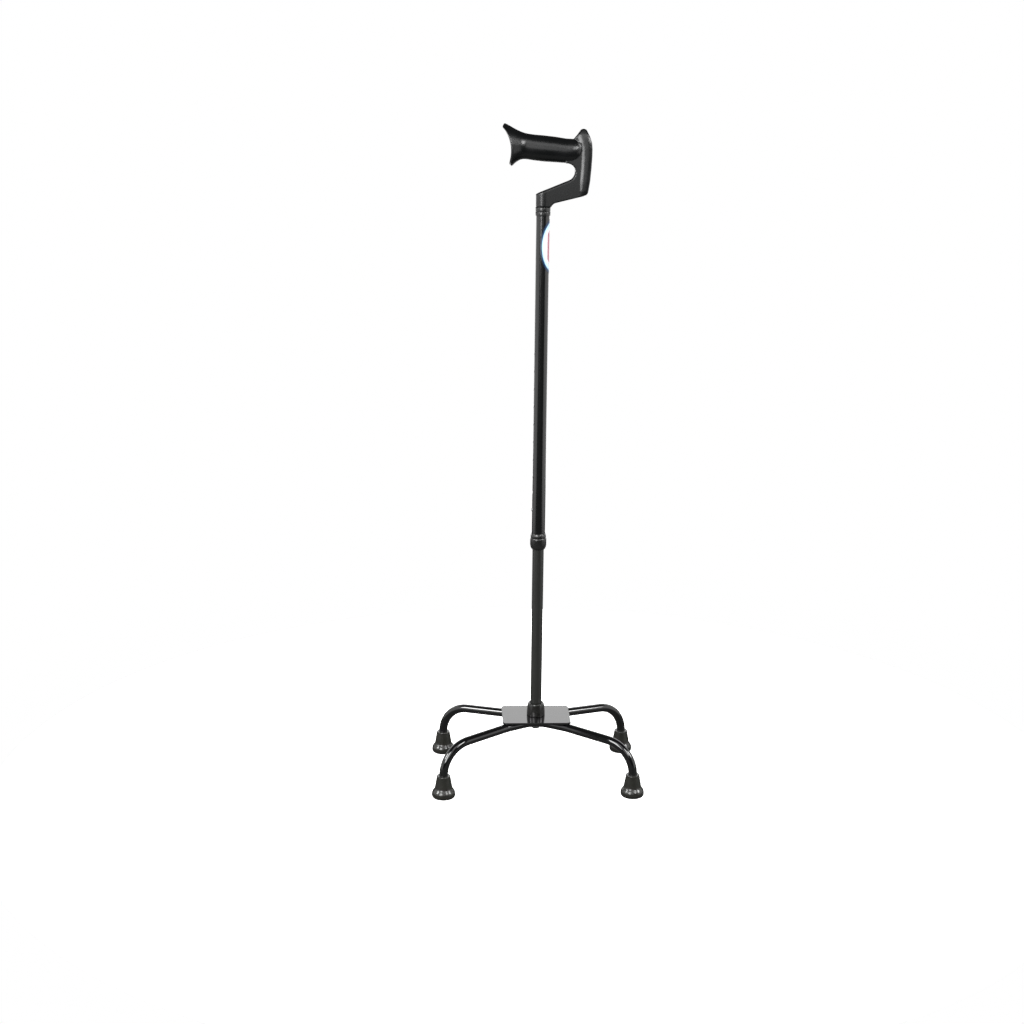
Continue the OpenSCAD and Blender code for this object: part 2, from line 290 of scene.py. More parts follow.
def moulded_satin_nylon():
    """Glass-filled nylon, dyed black: fine mould texture gives a satin, slightly speckled skin."""
    material, tree = new_material("moulded_satin_nylon")
    place = add(tree, "ShaderNodeTexCoord").outputs["Object"]
    grain = add(tree, "ShaderNodeTexNoise", {"Scale": per_mm(0.6), "Detail": 3}, {"Vector": place})
    cloud = add(tree, "ShaderNodeTexNoise", {"Scale": per_mm(9), "Detail": 2}, {"Vector": place})
    finish_skin(
        tree,
        colours=("#0d0e0e", "#151615"),
        patches=cloud.outputs["Fac"],
        roughness=(0.22, 0.32),
        gloss=grain.outputs["Fac"],
        relief=grain.outputs["Fac"],
        strength=0.12,
        depth=0.05,
        ior=1.53,
        span=(0, 1),
    )
    return material


def anodised_tube(name, colours, roughness):
    """Drawn aluminium tube, dyed in the anodising bath: a hard clear oxide over fine lengthwise
    die lines, which pull highlights out along the tube."""
    material, tree = new_material(name)
    place = add(tree, "ShaderNodeTexCoord").outputs["Object"]
    along = add(tree, "ShaderNodeMapping", {"Scale": (1, 1, 0.02)}, {"Vector": place})
    lines = add(
        tree,
        "ShaderNodeTexNoise",
        {"Scale": per_mm(0.7), "Detail": 4},
        {"Vector": along.outputs["Vector"]},
    )
    dye = add(tree, "ShaderNodeTexNoise", {"Scale": per_mm(45), "Detail": 2}, {"Vector": place})
    finish_skin(
        tree,
        colours=colours,
        patches=dye.outputs["Fac"],
        roughness=roughness,
        gloss=lines.outputs["Fac"],
        relief=lines.outputs["Fac"],
        strength=0.08,
        depth=0.02,
        ior=1.62,
    )
    return material


def stoved_enamel(name, roughness):
    """Stoved black enamel over steel: a thick glassy skin with a long, faint orange peel and
    a haze that varies under the gloss."""
    material, tree = new_material(name)
    place = add(tree, "ShaderNodeTexCoord").outputs["Object"]
    peel = add(tree, "ShaderNodeTexNoise", {"Scale": per_mm(3.5), "Detail": 1}, {"Vector": place})
    haze = add(tree, "ShaderNodeTexNoise", {"Scale": per_mm(30), "Detail": 3}, {"Vector": place})
    finish_skin(
        tree,
        colours=("#050506", "#0a0b0b"),
        patches=haze.outputs["Fac"],
        roughness=roughness,
        gloss=haze.outputs["Fac"],
        relief=peel.outputs["Fac"],
        strength=0.05,
        depth=0.05,
        ior=1.6,
    )
    return material


def moulded_rubber(name, colours):
    """Compression-moulded natural rubber, dark grey: a skin with a waxy sheen, a fine pebble
    from the mould and paler bloom in patches."""
    material, tree = new_material(name)
    place = add(tree, "ShaderNodeTexCoord").outputs["Object"]
    pebble = add(tree, "ShaderNodeTexNoise", {"Scale": per_mm(0.9), "Detail": 3}, {"Vector": place})
    bloom = add(tree, "ShaderNodeTexNoise", {"Scale": per_mm(11), "Detail": 4}, {"Vector": place})
    finish_skin(
        tree,
        colours=colours,
        patches=bloom.outputs["Fac"],
        roughness=(0.19, 0.26),
        gloss=bloom.outputs["Fac"],
        relief=pebble.outputs["Fac"],
        strength=0.14,
        depth=0.08,
        ior=1.52,
    )
    return material


def plated_steel(name, colours, roughness):
    """Steel with a thin plated or rolled skin: cloudy crystals and fine scratches in the gloss."""
    material, tree = new_material(name)
    place = add(tree, "ShaderNodeTexCoord").outputs["Object"]
    crystal = add(tree, "ShaderNodeTexVoronoi", {"Scale": per_mm(0.8)}, {"Vector": place})
    scratch = add(
        tree, "ShaderNodeTexNoise", {"Scale": per_mm(0.4), "Detail": 3}, {"Vector": place}
    )
    colour = add(
        tree, "ShaderNodeMix", links={"Factor": crystal.outputs["Distance"]}, data_type="RGBA"
    )
    colour.inputs["A"].default_value = linear(colours[0])
    colour.inputs["B"].default_value = linear(colours[1])
    gloss = add(
        tree,
        "ShaderNodeMapRange",
        {"From Min": 0.3, "From Max": 0.7, "To Min": roughness[0], "To Max": roughness[1]},
        {"Value": scratch.outputs["Fac"]},
    )
    surface = add(
        tree,
        "ShaderNodeBsdfPrincipled",
        {"Metallic": 1.0},
        {"Base Color": colour.outputs["Result"], "Roughness": gloss.outputs["Result"]},
    )
    finish_material(tree, surface)
    return material


def natural_nylon():
    """Undyed turned nylon: milky and waxy, with faint lathe rings."""
    material, tree = new_material("natural_nylon")
    place = add(tree, "ShaderNodeTexCoord").outputs["Object"]
    rings = add(
        tree,
        "ShaderNodeTexWave",
        {"Scale": per_mm(0.6), "Distortion": 0.4},
        {"Vector": place},
        bands_direction="Z",
    )
    bump = add(
        tree,
        "ShaderNodeBump",
        {"Strength": 0.2, "Distance": 0.03 * MM},
        {"Height": rings.outputs["Fac"]},
    )
    cloud = add(tree, "ShaderNodeTexNoise", {"Scale": per_mm(6)}, {"Vector": place})
    colour = add(tree, "ShaderNodeMix", links={"Factor": cloud.outputs["Fac"]}, data_type="RGBA")
    colour.inputs["A"].default_value = linear("#d9d6ca")
    colour.inputs["B"].default_value = linear("#e6e4db")
    surface = add(
        tree,
        "ShaderNodeBsdfPrincipled",
        {"IOR": 1.53, "Roughness": 0.42, "Subsurface Weight": 0.15, "Subsurface Scale": 1.5 * MM},
        {"Base Color": colour.outputs["Result"], "Normal": bump.outputs["Normal"]},
    )
    finish_material(tree, surface)
    return material


def printed_vinyl():
    """Printed vinyl sticker: white face with a pale blue border, a dark blue rim and one rosy
    band, under a thin laminate that catches the light. UV runs from -1 to 1 across the oval."""
    material, tree = new_material("printed_vinyl")
    uv = add(tree, "ShaderNodeUVMap", uv_map="oval").outputs["UV"]
    parts = add(tree, "ShaderNodeSeparateXYZ", links={"Vector": uv})
    radius = add(tree, "ShaderNodeVectorMath", links={0: uv}, operation="LENGTH")
    rim = add(tree, "ShaderNodeValToRGB", links={"Fac": radius.outputs["Value"]})
    ramp = rim.color_ramp
    ramp.elements[0].position, ramp.elements[0].color = 0.0, linear("#dadcdd")
    ramp.elements[1].position, ramp.elements[1].color = 1.0, linear("#0c2340")
    for stop, code in ((0.62, "#d8dbde"), (0.78, "#c3d6e3"), (0.87, "#9cc6df"), (0.9, "#0b2e4e")):
        ramp.elements.new(stop).color = linear(code)
    across = add(
        tree,
        "ShaderNodeMapRange",
        {"From Min": -1, "From Max": 1},
        {"Value": parts.outputs["X"]},
    )
    band = add(tree, "ShaderNodeValToRGB", links={"Fac": across.outputs["Result"]})
    stops = band.color_ramp
    stops.interpolation = "CONSTANT"
    stops.elements[0].position, stops.elements[0].color = 0.0, (0, 0, 0, 1)
    stops.elements[1].position, stops.elements[1].color = 0.285, (1, 1, 1, 1)
    stops.elements.new(0.525).color = (0, 0, 0, 1)
    inside = add(
        tree,
        "ShaderNodeMath",
        {1: 0.62},
        {0: radius.outputs["Value"]},
        operation="LESS_THAN",
    )
    where = add(
        tree,
        "ShaderNodeMath",
        links={0: band.outputs["Color"], 1: inside.outputs["Value"]},
        operation="MULTIPLY",
    )
    face = add(
        tree,
        "ShaderNodeMix",
        links={"Factor": where.outputs["Value"], "A": rim.outputs["Color"]},
        data_type="RGBA",
    )
    face.inputs["B"].default_value = linear("#a36b78")
    place = add(tree, "ShaderNodeTexCoord").outputs["Object"]
    ripple = add(tree, "ShaderNodeTexNoise", {"Scale": per_mm(7), "Detail": 2}, {"Vector": place})
    bump = add(
        tree,
        "ShaderNodeBump",
        {"Strength": 0.1, "Distance": 0.1 * MM},
        {"Height": ripple.outputs["Fac"]},
    )
    surface = add(
        tree,
        "ShaderNodeBsdfPrincipled",
        {"IOR": 1.5, "Roughness": 0.3},
        {"Base Color": face.outputs["Result"], "Normal": bump.outputs["Normal"]},
    )
    finish_material(tree, surface)
    return material


PLASTIC = moulded_gloss_plastic()
NYLON = moulded_satin_nylon()
UPPER_ALUMINIUM = anodised_tube("anodised_black_tube", ("#080909", "#0d0e0e"), (0.13, 0.19))
LOWER_ALUMINIUM = anodised_tube("anodised_grey_tube", ("#131412", "#191a18"), (0.3, 0.38))
ENAMEL = stoved_enamel("stoved_enamel", (0.05, 0.09))
PLATE_ENAMEL = stoved_enamel("stoved_enamel_flat", (0.04, 0.08))
TIP_RUBBER = moulded_rubber("moulded_rubber_tips", ("#161613", "#22221e"))
COLLAR_RUBBER = moulded_rubber("moulded_rubber_collar", ("#0e0e0d", "#161614"))
ZINC = plated_steel("zinc_plated_steel", ("#a9acad", "#85888a"), (0.25, 0.4))
BRIGHT_STEEL = plated_steel("bright_turned_steel", ("#c4c6c7", "#a6a8aa"), (0.14, 0.24))
BLACK_STEEL = plated_steel("blackened_steel", ("#454647", "#323334"), (0.3, 0.45))
WHITE_NYLON = natural_nylon()
VINYL = printed_vinyl()


def dress(piece, material, body, slot, *nodes):
    """Gives a finished piece its material and body, and hides the CAD nodes that it stands for; slot
    is not used.
    """
    settle(piece)
    piece.data.materials.clear()
    piece.data.materials.append(material)
    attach(piece, body)
    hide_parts(*nodes)


# ---------------------------------------------------------------- handle

SOCKET_TOP = 33.2  # millimetres above the handle ring, on the shaft's axis
NECK_SLOPE = 21.6  # degrees, the neck's upper edge


def loft_stations(name, stations, axis, sides=64):
    """Lofts a capped bar along X or Z through elliptic (x, z, depth, width, tilt) stations.

    Width is the size along Y, and depth the size along Z for a bar along X, or along X for a
    bar along Z. Sizes are in millimetres, z is counted from the handle ring, tilt in degrees.
    """
    deselect()
    x, z, depth, width, tilt = stations[0]
    along_x = axis == "X"
    bpy.ops.mesh.primitive_circle_add(
        vertices=sides,
        radius=0.5 * MM,
        location=(0, 0, 0),
        rotation=(0, QUARTER if along_x else 0, 0),
    )
    bar = bpy.context.object
    bar.name = name
    settle(bar)
    edit()
    bpy.ops.mesh.select_all(action="SELECT")
    bpy.ops.mesh.edge_face_add()

    def spot(px, pz):
        return Vector((px * MM, 0, RING_Z + pz * MM))

    def reshape(from_depth, from_width, to_depth, to_width, about):
        across = to_depth / from_depth
        value = (1, to_width / from_width, across) if along_x else (across, to_width / from_width, 1)
        bpy.ops.transform.resize(value=value, center_override=about)

    def turn(degrees, about):
        if degrees:
            bpy.ops.transform.rotate(
                value=math.radians(degrees), orient_axis="Y", center_override=about
            )

    here = spot(x, z)
    bpy.ops.transform.translate(value=here)
    reshape(1, 1, depth, width, here)
    turn(tilt, here)
    for next_x, next_z, next_depth, next_width, next_tilt in stations[1:]:
        there = spot(next_x, next_z)
        bpy.ops.mesh.extrude_region_move(TRANSFORM_OT_translate={"value": there - here})
        turn(-tilt, there)
        reshape(depth, width, next_depth, next_width, there)
        turn(next_tilt, there)
        here, depth, width, tilt = there, next_depth, next_width, next_tilt
    object_mode()
    tidy_shell(bar)
    return bar


def drawn_plate(name, outline, thickness):
    """A plate from a side outline of (x, z) points above the ring, extruded across Y."""
    deselect()
    bpy.ops.mesh.primitive_plane_add(size=MM)
    plate = bpy.context.object
    plate.name = name
    edit()
    bpy.ops.mesh.select_all(action="SELECT")
    bpy.ops.mesh.merge(type="CENTER")
    first = Vector((outline[0][0] * MM, -thickness / 2 * MM, RING_Z + outline[0][1] * MM))
    bpy.ops.transform.translate(value=first)
    for (x0, z0), (x1, z1) in zip(outline, outline[1:]):
        bpy.ops.mesh.extrude_region_move(
            TRANSFORM_OT_translate={"value": ((x1 - x0) * MM, 0, (z1 - z0) * MM)}
        )
    bpy.ops.mesh.select_all(action="SELECT")
    bpy.ops.mesh.edge_face_add()
    bpy.ops.mesh.extrude_region_move(TRANSFORM_OT_translate={"value": (0, thickness * MM, 0)})
    object_mode()
    tidy_shell(plate)
    return plate


def grip_core():
    """The bar that the hand holds, fullest at the palm and closed in a dome at the front."""
    return loft_stations(
        "handle_moulding",
        [
            (54.5, 92, 8, 10, 0),
            (52.8, 91.6, 15, 16, 0),
            (50.5, 91, 20.5, 20.6, 0),
            (47.5, 90, 25.4, 24, 0),
            (44, 89, 29, 26.4, 0),
            (39, 88.2, 31.8, 28.2, 0),
            (30, 88, 33, 29.4, 0),
            (16, 89.5, 34.4, 30, 0),
            (0, 90.8, 35.2, 29.6, 0),
            (-14, 92.1, 34.8, 28, 0),
            (-23, 93.4, 34.6, 26.6, 0),
            (-28, 94.2, 35.6, 26, 1),
            (-33, 94.8, 38.8, 26, 3),
        ],
        "X",
    )


def rear_flare():
    """The trumpet behind the hand, which widens every way and leans back a little."""
    return loft_stations(
        "flare",
        [
            (-16, 92.4, 34.6, 26, 0),
            (-22, 93.3, 34.6, 26.2, 0),
            (-26, 93.9, 35.2, 26.6, 0.5),
            (-29, 94.4, 36.2, 27.6, 1.2),
            (-31.5, 94.7, 37.8, 29.2, 2.2),
            (-34.5, 94.9, 40.6, 31.8, 3.5),
            (-38.5, 95.1, 45, 35.4, 5),
            (-42.5, 95.3, 50.4, 39, 7),
            (-46.3, 95.5, 55.8, 42.4, 9),
            (-49.2, 95.5, 58.6, 45, 9.5),
            (-51.6, 95.8, 53.4, 44.6, 9.5),
            (-53.6, 96, 44.6, 42, 9.5),
        ],
        "X",
    )


def front_bar_and_horn():
    """The upright front bar and the horn on its top: a drawn side outline, kept to the round
    swell of a loft that thins towards both ends."""
    swell = loft_stations(
        "front_swell",
        [
            (54.5, 20, 27, 18, 0),
            (55.2, 27, 28, 20, 0),
            (56.2, 34, 29, 22, 0),
            (57.4, 47, 30, 22.8, 0),
            (58.6, 63, 30, 22.8, 0),
            (59.2, 80, 30, 22.8, 0),
            (59, 92, 31, 22.6, 0),
            (58, 100, 34, 21.6, 0),
            (56.5, 106, 34, 19.6, 0),
            (55.5, 111, 32, 16.4, 0),
            (55, 115, 30, 12.4, 0),
            (54.5, 119, 28, 8, 0),
        ],
        "Z",
    )
    bar = drawn_plate(
        "front_bar",
        [(44, 25.5), (53.4, 27.6), (57.7, 28.4), (60.8, 29.6), (61.9, 35.5), (63.8, 47.2),
         (65.1, 63.4), (66, 79.6), (66.1, 91), (65.2, 99.7), (62.2, 107.9), (59.9, 112.4),
         (57.9, 116.4), (54.6, 118.4), (50.8, 116.6), (45.4, 109), (40.5, 103.6), (38, 98),
         (46, 88), (46, 50)],
        23,
    )
    soften_edges(bar, 4.6, segments=8, angle=50)
    apply_modifier(bar, "BOOLEAN", operation="INTERSECT", solver="EXACT", object=swell)
    bpy.data.objects.remove(swell)
    return bar


def flat_neck():
    """The flat web from the socket forwards and up, with the round throat under the grip."""
    under = arc((19.2, 9.2), 9, 162, 104, 8)
    heel = arc((53.5, 31.1), 4, -76, -10, 5)
    throat = arc((31.3, 59.2), 12.3, 100, -68, 24)
    neck = drawn_plate(
        "neck_plate",
        [(0, 12), (10.6, 12)]
        + under
        + heel
        + [(59, 62), (60, 90), (50, 99), (43, 99), (36, 97)]
        + throat
        + [(0, SOCKET_TOP)],
        19.6,
    )
    soften_edges(neck, 1.6, segments=4, angle=50)
    return neck


def round_socket():
    """The round socket over the tube's end, cut off along the neck's slope."""
    socket = turned("socket", [(10.2, 12), (10.2, 36)], hollow=False)
    socket.location.z = RING_Z
    settle(socket)
    slope = math.radians(NECK_SLOPE)
    half = 30 * MM
    deselect()
    bpy.ops.mesh.primitive_cube_add(
        size=2 * half,
        location=(-math.sin(slope) * half, 0, RING_Z + SOCKET_TOP * MM + math.cos(slope) * half),
        rotation=(0, -slope, 0),
    )
    cut(socket, bpy.context.object)
    soften_edges(socket, 0.9, segments=3, angle=50)
    return socket


def make_handle():
    """All of the handle welded into one moulding, hollowed behind for the heel of the hand, and
    its joins blended the way a mould maker fillets them."""
    handle = grip_core()
    for part in (rear_flare(), front_bar_and_horn(), flat_neck(), round_socket()):
        join_solid(handle, part)
    bpy.ops.mesh.primitive_cylinder_add(
        vertices=160,
        radius=48 * MM,
        depth=60 * MM,
        location=(-92.2 * MM, 0, RING_Z + 86.5 * MM),
        rotation=(QUARTER, 0, 0),
    )
    cut(handle, bpy.context.object)
    apply_modifier(handle, "REMESH", mode="VOXEL", voxel_size=0.65 * MM, adaptivity=0)
    apply_modifier(handle, "SMOOTH", factor=0.5, iterations=12)
    only(handle)
    bpy.ops.object.shade_smooth()
    dress(handle, PLASTIC, "upper_shaft", "handle_plastic", "handle")


make_handle()

# ---------------------------------------------------------------- shaft


def make_handle_ring():
    """The ring under the socket, with one groove round it."""
    ring = turned(
        "tube_ring",
        [
            (9.6, 0), (10.1, 0), (10.5, 0.5), (10.5, 4.9), (10.1, 5.3), (10.1, 5.8),
            (10.5, 6.2), (10.5, 11.2), (9.9, 11.9), (9.6, 11.9),
        ],
    )
    ring.location.z = RING_Z
    soften_edges(ring, 0.18, segments=2, angle=20)
    dress(ring, NYLON, "upper_shaft", "satin_black_plastic", "handle_ring")


def drill(piece, radius, where, length, axis_turn):
    """Drills a round hole through one wall of the piece."""
    deselect()
    bpy.ops.mesh.primitive_cylinder_add(
        vertices=48, radius=radius, depth=length, location=where, rotation=axis_turn
    )
    cut(piece, bpy.context.object)


def tube_profile(radius, wall, low, high, chamfer, hole_zs):
    """Section of a tube, in millimetres, with chamfered outer ends. Rings of edges on both sides
    of each hole keep the long faces between them evenly shaded."""
    beside = 5
    stops = sorted(z / MM + side * beside for z in hole_zs for side in (-1, 1))
    radius, low, high = radius / MM, low / MM, high / MM
    inner = radius - wall
    return (
        [(radius - chamfer, low), (radius, low + chamfer)]
        + [(radius, z) for z in stops]
        + [(radius, high - chamfer), (radius - chamfer, high), (inner, high)]
        + [(inner, z) for z in reversed(stops)]
        + [(inner, low)]
    )


def make_upper_tube():
    """The upper tube with its row of pin holes down the left side and the handle screw's hole."""
    hole_count = 10
    hole_pitch = 25.4 * MM
    first_hole = RING_Z - 190.4 * MM
    hole_zs = [first_hole - i * hole_pitch for i in range(hole_count)]
    tube = turned("pin_hole_tube", tube_profile(UPPER_R, 1.1, TUBE_LOW, TUBE_HIGH, 0.25, hole_zs))
    for z in hole_zs:
        drill(tube, 3.5 * MM, (-UPPER_R, 0, z), 8 * MM, (0, QUARTER, 0))
    screw = middle("handle_screw")
    drill(tube, 1.8 * MM, (0, UPPER_R, screw.z), 8 * MM, (QUARTER, 0, 0))
    smooth(tube, 30)
    dress(tube, UPPER_ALUMINIUM, "upper_shaft", "black_tube", "upper_tube")


def make_lower_tube():
    """The lower tube with the snap button's hole."""
    button = middle("snap_button")
    tube = turned("sliding_tube", tube_profile(LOWER_R, 1.2, LOWER_LOW, LOWER_HIGH, 0.2, [button.z]))
    drill(tube, 3.4 * MM, (-LOWER_R, 0, button.z), 8 * MM, (0, QUARTER, 0))
    smooth(tube, 30)
    dress(tube, LOWER_ALUMINIUM, "base", "dark_tube", "lower_tube")


def make_screw_lock():
    """The fixed flanged sleeve above and the barrel nut that turns under it."""
    end = TUBE_LOW / MM
    sleeve = turned(
        "lock_sleeve_flange",
        [
            (9.6, end - 3), (10.4, end - 4), (10.4, end + 6.6), (10.9, end + 6.6),
            (11.1, end + 6.9), (11.1, end + 8.6), (10.9, end + 9.4), (10.35, end + 11.6),
            (10.1, end + 12.1), (9.6, end + 12.2),
        ],
    )
    soften_edges(sleeve, 0.2, segments=2, angle=20)
    dress(sleeve, NYLON, "upper_shaft", "lock_plastic", "lock_sleeve")
    nut = turned(
        "lock_barrel_nut",
        [
            (8.5, end - 11.6), (9.1, end - 11.6), (10.2, end - 10.2), (11.1, end - 8),
            (11.55, end - 5.8), (11.7, end - 4), (11.7, end + 3.4), (11.35, end + 4.9),
            (11.0, end + 5.45), (10.55, end + 5.45), (10.55, end - 4.1), (9.6, end - 9.4),
            (8.5, end - 9.4),
        ],
    )
    soften_edges(nut, 0.25, segments=3, angle=12)
    dress(nut, NYLON, "lock_nut", "lock_plastic", "lock_nut")


def make_base_collar():
    """The rubber boot round the lower tube: a barrel that narrows upwards to a rolled lip."""
    low = PLATE_HIGH.z / MM
    steps = 10
    barrel = [
        (13.5 - 1.5 * (i / steps) ** 2, low + 0.6 + 16.4 * i / steps) for i in range(steps + 1)
    ]
    collar = turned(
        "base_boot",
        [(8.2, low + 0.02), (13.1, low + 0.02)]
        + barrel
        + [(11.6, low + 18.3), (11.0, low + 18.95), (10.0, low + 18.95), (9.3, low + 18.2),
           (8.9, low + 17.2), (8.2, low + 17.0)],
    )
    soften_edges(collar, 0.25, segments=3, angle=20)
    dress(collar, COLLAR_RUBBER, "base", "rubber", "base_collar")


def make_sticker():
    """Oval sticker, cut flat and wrapped round the tube's right side, which faces +X."""
    half_height = 37.4 * MM
    half_width = 18.4 * MM
    thickness = 0.1 * MM
    centre = middle("size_label")
    radius = UPPER_R + 0.02 * MM + thickness
    start = math.radians(-1)
    deselect()
    bpy.ops.mesh.primitive_grid_add(x_subdivisions=64, y_subdivisions=64, size=2)
    sticker = bpy.context.object
    sticker.name = "oval_sticker"
    mesh = sticker.data
    uv = mesh.uv_layers.new(name="oval")
    flat = {}
    for vertex in mesh.vertices:
        x, y = vertex.co.x, vertex.co.y
        flat[vertex.index] = (x * math.sqrt(1 - y * y / 2), y * math.sqrt(1 - x * x / 2))
    for loop in mesh.loops:
        uv.data[loop.index].uv = flat[loop.vertex_index]
    for vertex in mesh.vertices:
        u, v = flat[vertex.index]
        turn = start + u * half_width / radius
        vertex.co = (radius * math.cos(turn), radius * math.sin(turn), centre.z + v * half_height)
    tidy_shell(sticker)
    apply_modifier(sticker, "SOLIDIFY", thickness=thickness, offset=-1)
    smooth(sticker, 40)
    dress(sticker, VINYL, "upper_shaft", "label", "size_label")


make_handle_ring()
make_upper_tube()
make_lower_tube()
make_screw_lock()
make_base_collar()
make_sticker()

# ---------------------------------------------------------------- base


def make_plate():
    """The plate: upright corners rounded, every edge softened, and a narrow rim inset in its top
    and bottom faces, which keeps them flat to the eye."""
    corner_r = 6 * MM
    deselect()
    size = PLATE_HIGH - PLATE_LOW
    bpy.ops.mesh.primitive_cube_add(size=1, location=(PLATE_LOW + PLATE_HIGH) / 2)
    plate = bpy.context.object
    plate.name = "leg_plate"
    plate.scale = size
    settle(plate)
    pick_by("EDGE")
    for edge in plate.data.edges:
        ends = [plate.data.vertices[i].co for i in edge.vertices]
        edge.select = abs(ends[0].z - ends[1].z) > size.z / 2
    edit()
    bpy.ops.mesh.bevel(offset=corner_r, segments=10, affect="EDGES")
    object_mode()
    soften_edges(plate, 0.5, segments=4, angle=50)
    pick_by("FACE")
    widest = max(face.area for face in plate.data.polygons)
    for face in plate.data.polygons:
        face.select = face.area > widest / 2
    edit()
    bpy.ops.mesh.inset(thickness=0.3 * MM)
    pick_by("VERT")
    dress(plate, PLATE_ENAMEL, "base", "black_enamel", "base_plate")


def make_leg_tube(name, node, rear):
    """One tube from foot to foot, grown from the left foot by extrusions and spins: up, over the
    bend above the tip, in under the plate, round the middle bend and out again."""
    side = 1 if rear else -1
    low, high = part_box(node)
    foot_x = middle("foot_rear_right" if rear else "foot_front_right").x
    foot_y = abs(middle("foot_rear_right" if rear else "foot_front_right").y)
    apex = 4.3 * MM  # where the arms' lines would meet, from the middle of the cane
    middle_r, knee_r, bend_r = 35 * MM, 60 * MM, 45 * MM
    wall = 1.5 * MM
    fall = math.radians(5)  # of each arm, outside the plate
    flat_run = 50 * MM  # level stretch under the plate
    heading = math.atan2(foot_y - apex, foot_x)
    reach = math.hypot(foot_x, foot_y - apex)
    top = high.z - LEG_R
    knee_run = knee_r * math.tan(fall / 2)
    fall_end = reach - bend_r * (1 - math.sin(fall))
    bend_start_z = top - (fall_end - flat_run) * math.tan(fall)
    bend_end_z = bend_start_z - bend_r * math.cos(fall)

    def at(run, z, arm):
        """A point over the tube's route: run from the middle along an arm, -1 left or 1 right."""
        return Vector(
            (arm * run * math.cos(heading), side * (apex + run * math.sin(heading)), z)
        )

    def across(arm):
        """Level axis square to an arm; spinning about it carries the tube along the arm."""
        out = Vector((arm * math.cos(heading), side * math.sin(heading), 0))
        return out.cross(Vector((0, 0, 1)))

    def spin(angle, centre, axis, steps):
        bpy.ops.mesh.spin(steps=steps, angle=-angle, center=centre, axis=axis, dupli=False)

    def push(start, end):
        bpy.ops.mesh.extrude_region_move(TRANSFORM_OT_translate={"value": end - start})

    deselect()
    foot = at(reach, low.z, -1)
    bpy.ops.mesh.primitive_circle_add(vertices=40, radius=LEG_R, location=foot)
    tube = bpy.context.object
    tube.name = name
    settle(tube)
    edit()
    bpy.ops.mesh.select_all(action="SELECT")
    push(foot, at(reach, bend_end_z, -1))
    big = QUARTER - fall
    spin(big, at(reach - bend_r, bend_end_z, -1), across(-1), 18)
    slope_top = at(flat_run, top, -1)
    slope = (at(fall_end, bend_start_z, -1) - slope_top).normalized()
    push(at(fall_end, bend_start_z, -1), slope_top + slope * knee_run)
    spin(fall, at(flat_run - knee_run, top - knee_r, -1), across(-1), 3)
    tangent = middle_r * math.tan(heading)
    push(at(flat_run - knee_run, top, -1), at(tangent, top, -1))
    middle_axis = Vector((0, 0, side))
    bend_centre = Vector((0, side * (apex + middle_r / math.cos(heading)), top))
    spin(2 * heading, bend_centre, middle_axis, 12)
    push(at(tangent, top, 1), at(flat_run - knee_run, top, 1))
    spin(-fall, at(flat_run - knee_run, top - knee_r, 1), across(1), 3)
    slope_top = at(flat_run, top, 1)
    slope = (at(fall_end, bend_start_z, 1) - slope_top).normalized()
    push(slope_top + slope * knee_run, at(fall_end, bend_start_z, 1))
    spin(-big, at(reach - bend_r, bend_end_z, 1), across(1), 18)
    push(at(reach, bend_end_z, 1), at(reach, low.z, 1))
    object_mode()
    tidy_shell(tube)
    apply_modifier(tube, "SOLIDIFY", thickness=wall, offset=-1)
    smooth(tube, 40)
    dress(tube, ENAMEL, "base", "black_enamel", node)


def make_tip(node):
    """A rubber tip: lipped tapering neck, shoulder, upright wall and a grooved sole."""
    at = middle(node)
    tip = turned(
        node.replace("foot", "tip"),
        [
            (5, 0), (5, 1.2), (6.5, 1.2), (6.5, 0), (9.5, 0), (9.5, 1.2), (11, 1.2), (11, 0),
            (14.2, 0), (15.7, 0.6), (16.6, 1.8), (17.0, 3.4), (17.0, 5.6), (16.85, 7.0),
            (16.5, 8.3), (16.0, 9.5), (15.3, 10.7), (14.5, 11.8), (13.7, 12.8), (13.1, 13.8),
            (12.75, 15.0), (12.5, 16.4), (10.1, 30.4), (9.95, 31.2), (10.05, 32.0), (9.7, 32.8),
            (8.9, 33.0), (6.35, 33.0), (6.35, 6), (0.4, 6), (0.4, 0.02),
        ],
        at=(at.x, at.y),
        sides=72,
    )
    soften_edges(tip, 0.3, segments=3, angle=24)
    dress(tip, TIP_RUBBER, "base", "rubber", node)


make_plate()
make_leg_tube("front_bent_tube", "front_leg_tube", rear=False)
make_leg_tube("rear_bent_tube", "rear_leg_tube", rear=True)
for foot in FOOT_NODES:
    make_tip(foot)

# ---------------------------------------------------------------- CAD nodes that keep their shape

FINISHES = {
    ZINC: ["handle_screw", "tube_insert", "insert_rivet", "clamp_washer"]
    + [foot.replace("foot", "foot_washer") for foot in FOOT_NODES],
    BRIGHT_STEEL: ["snap_button", "button_spring"],
    BLACK_STEEL: ["base_bolt"],
    WHITE_NYLON: ["glide_bush"],
    ENAMEL: ["leg_welds"],
}
for finish, names in FINISHES.items():
    for name in names:
        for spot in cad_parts[name].material_slots:
            spot.material = finish

# ---------------------------------------------------------------- floor, light and camera


